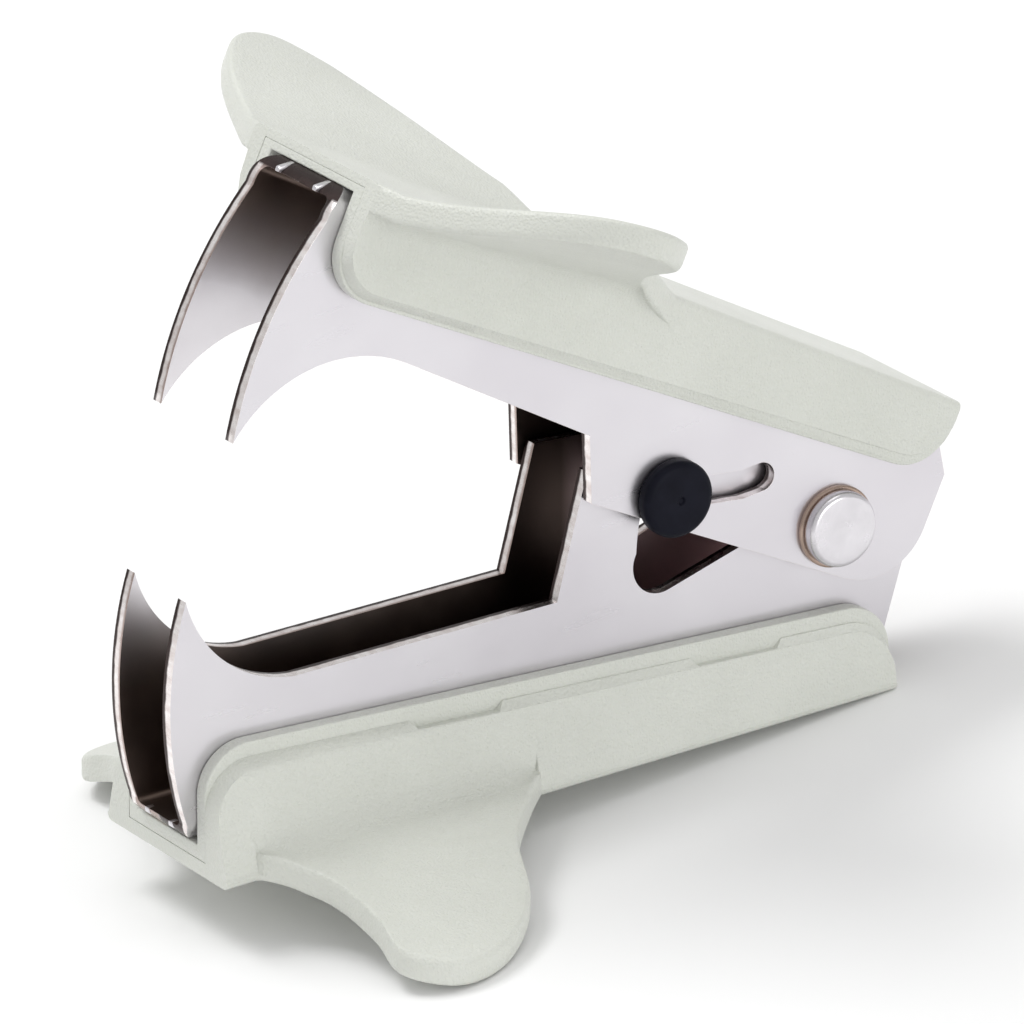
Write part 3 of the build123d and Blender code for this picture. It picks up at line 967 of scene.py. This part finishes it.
def grip_shell(grip):
    rings = []
    for x, tip in grip_stations(grip):
        side = shell_side(grip, x, tip)
        far = [(px, -py, pv) for px, py, pv in side[1:-1]]
        rings.append(side + far[::-1])
    count = len(rings[0])
    vertices = [point for ring in rings for point in ring]
    faces = []
    for i in range(len(rings) - 1):
        a, b = i * count, (i + 1) * count
        faces += [(a + k, a + (k + 1) % count, b + (k + 1) % count, b + k) for k in range(count)]
    last = (len(rings) - 1) * count
    faces += [tuple(range(count)), tuple(range(last + count - 1, last - 1, -1))]
    mesh = mesh_from(vertices, faces)
    work = bmesh.new()
    work.from_mesh(mesh)
    bmesh.ops.remove_doubles(work, verts=work.verts, dist=0.003)
    bmesh.ops.dissolve_degenerate(work, edges=work.edges, dist=0.002)
    bmesh.ops.recalc_face_normals(work, faces=work.faces)
    work.to_mesh(mesh)
    work.free()
    tray = grip.half + TRAY_WALL
    seam = grip.seam
    for x in grip.clips:
        half = CLIP_HALF - CLIP_LEAN
        window = [
            (x - CLIP_HALF, seam - 1), (x + CLIP_HALF, seam - 1), (x + CLIP_HALF, seam),
            (x + half, seam + CLIP_DEPTH), (x - half, seam + CLIP_DEPTH), (x - CLIP_HALF, seam),
        ]
        for low, high in ((-tray - CLIP_WIDTH, -tray + 0.3), (tray - 0.3, tray + CLIP_WIDTH)):
            mesh = boolean(mesh, prism(window, low, high), "DIFFERENCE")
    return mesh


def grip_tray(grip):
    """Inner tray: floor and two walls that hug the channel."""
    count = 14
    low = [(x, grip.free_edge(x, grip.skirt)) for x in (
        [grip.front + CORNER * (1 - math.cos(math.pi / 2 * i / count)) for i in range(count + 1)]
        + [grip.rear - CORNER * (1 - math.cos(math.pi / 2 * i / count)) for i in range(count, -1, -1)]
    )]
    outline = low + [(x, grip.floor(x, grip.layer)) for x in (grip.rear, grip.front)]
    tray = prism(outline, -grip.half - TRAY_WALL, grip.half + TRAY_WALL)
    front, rear = grip.front - 1, grip.rear + 1
    steel_space = [
        (front, grip.skirt - 2), (rear, grip.skirt - 2),
        (rear, grip.floor(rear, 0)), (front, grip.floor(front, 0)),
    ]
    tray = boolean(tray, prism(steel_space, -grip.half, grip.half), "DIFFERENCE")
    return rounded(tray, 0.12, 3)


for grip, place, body in ((UPPER_GRIP, UPPER, "upper"), (LOWER_GRIP, LOWER, "lower")):
    for part, draw, plastic, slot, node in (
        ("outer", grip_shell, shell_plastic, "grip_plastic", "shell"),
        ("tray", grip_tray, tray_plastic, "liner_plastic", "liner"),
    ):
        piece(f"{body}_grip_{part}", draw(grip), place, body, [plastic], [f"{body}_grip_{node}"])

# ---- pivot ----------------------------------------------------------------------------------------
SEAT = UPPER_HALF + 0.35
RIVET_HEAD = 2.62
RIVET_TAIL = 2.3


def corner(radius, y, size, outwards, steps=5):
    """Quarter round from a flat face at y onto a rim at radius. outwards is the face's side."""
    return [
        (radius - size + size * math.sin(a), y - outwards * size * (1 - math.cos(a)))
        for a in [math.pi / 2 * i / steps for i in range(steps + 1)]
    ]


def rivet():
    top = -SEAT - 0.95
    profile = [(0, top + 0.05), (0.5, top + 0.05), (0.62, top + 0.02), (1.5, top), (1.58, top)]
    profile += corner(RIVET_HEAD, top, 0.4, -1)
    profile += [(RIVET_HEAD, -SEAT - 0.12), (RIVET_HEAD - 0.1, -SEAT)]
    profile += [(RIVET_R, -SEAT), (RIVET_R, SEAT), (RIVET_TAIL - 0.1, SEAT), (RIVET_TAIL, SEAT + 0.1)]
    profile += corner(RIVET_TAIL, SEAT + 0.7, 0.35, 1)[::-1]
    profile += [(1.2, SEAT + 0.7), (1.0, SEAT + 0.45), (0.5, SEAT + 0.4), (0, SEAT + 0.4)]
    return lathe(profile, (0, 0))


def washer(side):
    near = UPPER_HALF
    loop = [
        (RIVET_R + 0.01, side * near), (2.75, side * near), (2.85, side * (near + 0.08)),
        (2.85, side * (near + 0.27)), (2.75, side * (near + 0.35)), (RIVET_R + 0.01, side * (near + 0.35)),
    ]
    return ring_lathe(loop, (0, 0))


def sleeve():
    end = LOWER_HALF - SHEET - 0.05
    loop = [
        (RIVET_R + 0.05, -end), (2.15, -end), (2.25, -end + 0.1), (2.25, end - 0.1), (2.15, end),
        (RIVET_R + 0.05, end),
    ]
    return ring_lathe(loop, (0, 0))


piece("rivet_head_and_shank", rivet(), UPPER, "upper", [rivet_steel], ["pivot_rivet"])
for where, side in (("near", -1), ("far", 1)):
    name = f"washer_{where}_side"
    piece(name, washer(side), UPPER, "upper", [washer_steel], [f"pivot_washer_{where}"])
piece("spacer_sleeve", sleeve(), LOWER, "lower", [spring_steel], ["pivot_sleeve"])


def tube(line, radius, steps=12):
    """Round wire along a line of points, with rounded ends."""
    rings = []
    normal = Vector((0, 1, 0))
    count = len(line)
    for i, point in enumerate(line):
        ahead = (line[min(i + 1, count - 1)] - line[max(i - 1, 0)]).normalized()
        normal = (normal - ahead * normal.dot(ahead)).normalized()
        side = ahead.cross(normal)
        size = radius * (0.6 if i in (0, count - 1) else 1.0)
        angles = [2 * math.pi * k / steps for k in range(steps)]
        rings.append([point + (normal * math.cos(a) + side * math.sin(a)) * size for a in angles])
    vertices = [tuple(v) for ring in rings for v in ring]
    faces = [tuple(range(steps)), tuple(range(len(vertices) - steps, len(vertices)))]
    for i in range(count - 1):
        a, b = i * steps, (i + 1) * steps
        faces += [(a + k, a + (k + 1) % steps, b + (k + 1) % steps, b + k) for k in range(steps)]
    return mesh_from(vertices, faces)


SPRING_LOWER = math.radians(27.5)    # how far each leg turns away from its jaw's X axis
SPRING_UPPER = math.radians(21.5)
SPRING_COILS = 3


def torsion_spring():
    """Close-wound spring, one leg on each web, drawn in the lower jaw's frame with Z upwards."""
    coil_r = 3.0
    leg = 15.0
    end_y = 1.47
    legs = []
    for side, turn in ((-1, -SPRING_LOWER), (1, SPRING_UPPER + OPEN_TURN)):
        c, s = math.cos(turn), math.sin(turn)
        foot = [(x, side * coil_r) for x in (0, -0.35, -leg + 0.3, -leg)]
        legs.append([Vector((x * c + z * s, side * end_y, z * c - x * s)) for x, z in foot])
    start = math.atan2(legs[0][0].z, legs[0][0].x)
    stop = math.atan2(legs[1][0].z, legs[1][0].x) + SPRING_COILS * 2 * math.pi
    steps = 132
    coil = [
        Vector((
            coil_r * math.cos(start + (stop - start) * i / steps),
            -end_y + 2 * end_y * i / steps,
            coil_r * math.sin(start + (stop - start) * i / steps),
        ))
        for i in range(1, steps)
    ]
    return tube(legs[0][::-1] + coil + legs[1], 0.45)


spring = piece(
    "spring_wire", torsion_spring(), jaw_frame(LOWER_TURN, 1), None, [spring_steel],
    ["torsion_spring"],
)
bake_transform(spring)

# ---- slide lock -----------------------------------------------------------------------------------
PIN_END = UPPER_HALF - SHEET - 0.15
BOSS_R = 0.8
KNOB_IN = UPPER_HALF + 0.05
KNOB_OUT = KNOB_IN + 1.25


def lock_pin():
    profile = [(0, -PIN_END), (PIN_R - 0.15, -PIN_END), (PIN_R, -PIN_END + 0.15)]
    profile += [(r, -y) for r, y in reversed(profile)]
    return lathe(profile, LOCK_FRONT, 48)


def lock_knob(side, radius):
    """Boss in the slot, and a softly domed disc with a gate dimple at its centre."""
    face = KNOB_OUT - 0.04
    profile = [(0, PIN_END), (BOSS_R, PIN_END), (BOSS_R, KNOB_IN)]
    profile += [(radius - 0.15, KNOB_IN), (radius, KNOB_IN + 0.15)]
    profile += corner(radius, KNOB_OUT - 0.06, 0.55, 1, 8)[::-1]
    profile += [(radius * 0.6, face + 0.02), (0.42, face + 0.04), (0.3, face + 0.02)]
    profile += [(0.2, face - 0.12), (0, face - 0.14)]
    return lathe([(r, side * y) for r, y in profile], LOCK_FRONT)


piece("lock_cross_pin", lock_pin(), UPPER, "lock", [spring_steel], ["lock_pin"])
for where, side, radius in (("near", -1, 2.65), ("far", 1, 2.2)):
    name, button = f"lock_button_{where}", lock_knob(side, radius)
    piece(name, button, UPPER, "lock", [black_plastic], [f"lock_knob_{where}"])

# ---- floor, light and camera ----------------------------------------------------------------------
FLOOR_HALF = 3.0
VIEW_AZIMUTH, VIEW_ELEVATION = -32, 20       # degrees
VIEW_DISTANCE = 800.0
VIEW_TARGET = Vector((-15.96, 9.74, -0.55))
SENSOR, LENS = 36, 421.875


def studio_floor():
    mesh = bpy.data.meshes.new("studio_floor")
    corners = [(FLOOR_HALF * x, FLOOR_HALF * y, 0) for x, y in ((-1, -1), (1, -1), (1, 1), (-1, 1))]
    mesh.from_pydata(corners, [], [(0, 1, 2, 3)])
    floor = bpy.data.objects.new("studio_floor", mesh)
    bpy.context.scene.collection.objects.link(floor)
    look = Look("studio_floor", Roughness=0.9)
    look.drive("Base Color", look.tint(look.noise(3, 2), (0.955, 0.955, 0.955), (0.965, 0.965, 0.965)))
    mesh.materials.append(look.material)


def direction(azimuth, elevation):
    """Unit vector towards a lamp or camera, from its azimuth and elevation in degrees."""
    a, e = math.radians(azimuth), math.radians(elevation)
    return Vector((math.sin(a) * math.cos(e), -math.cos(a) * math.cos(e), math.sin(e)))


def area_light(name, azimuth, elevation, distance, size, watts):
    """Soft box that looks at the object's middle."""
    low, high = cad_box
    middle = (Vector(low) + Vector(high)) / 2
    back = direction(azimuth, elevation)
    light = bpy.data.lights.new(name, "AREA")
    light.size = size
    light.energy = watts
    lamp = bpy.data.objects.new(name, light)
    lamp.location = middle + back * distance
    lamp.rotation_euler = back.to_track_quat("Z", "Y").to_euler()
    bpy.context.scene.collection.objects.link(lamp)


def studio():
    world = bpy.data.worlds.new("studio")
    world.use_nodes = True
    sky = world.node_tree.nodes["Background"].inputs
    sky["Color"].default_value = (1, 1, 1, 1)
    sky["Strength"].default_value = 0.63
    bpy.context.scene.world = world
    bpy.context.scene.view_settings.view_transform = "Standard"
    area_light("key_light", -150, 62, 0.45, 0.2, 0.95)
    area_light("fill_light", 10, 3, 0.7, 0.5, 1.65)
    area_light("top_light", 60, 75, 0.5, 0.3, 0.3)


def camera():
    """The photograph's view, fitted in the lower jaw's frame."""
    azimuth = math.radians(VIEW_AZIMUTH)
    back = direction(VIEW_AZIMUTH, VIEW_ELEVATION)
    right = Vector((math.cos(azimuth), math.sin(azimuth), 0))
    up = back.cross(right)
    place = jaw_frame(LOWER_TURN, 1)
    turn = Matrix.Rotation(LOWER_TURN, 3, "Y")
    axes = Matrix([turn @ right, turn @ up, turn @ back]).transposed().to_4x4()
    lens = bpy.data.cameras.new("camera")
    lens.sensor_width = SENSOR
    lens.lens = LENS
    lens.clip_start = 0.05
    view = bpy.data.objects.new("camera", lens)
    view.matrix_world = Matrix.Translation(place @ (VIEW_TARGET + back * VIEW_DISTANCE)) @ axes
    bpy.context.scene.collection.objects.link(view)
    bpy.context.scene.camera = view


studio_floor()
studio()
camera()
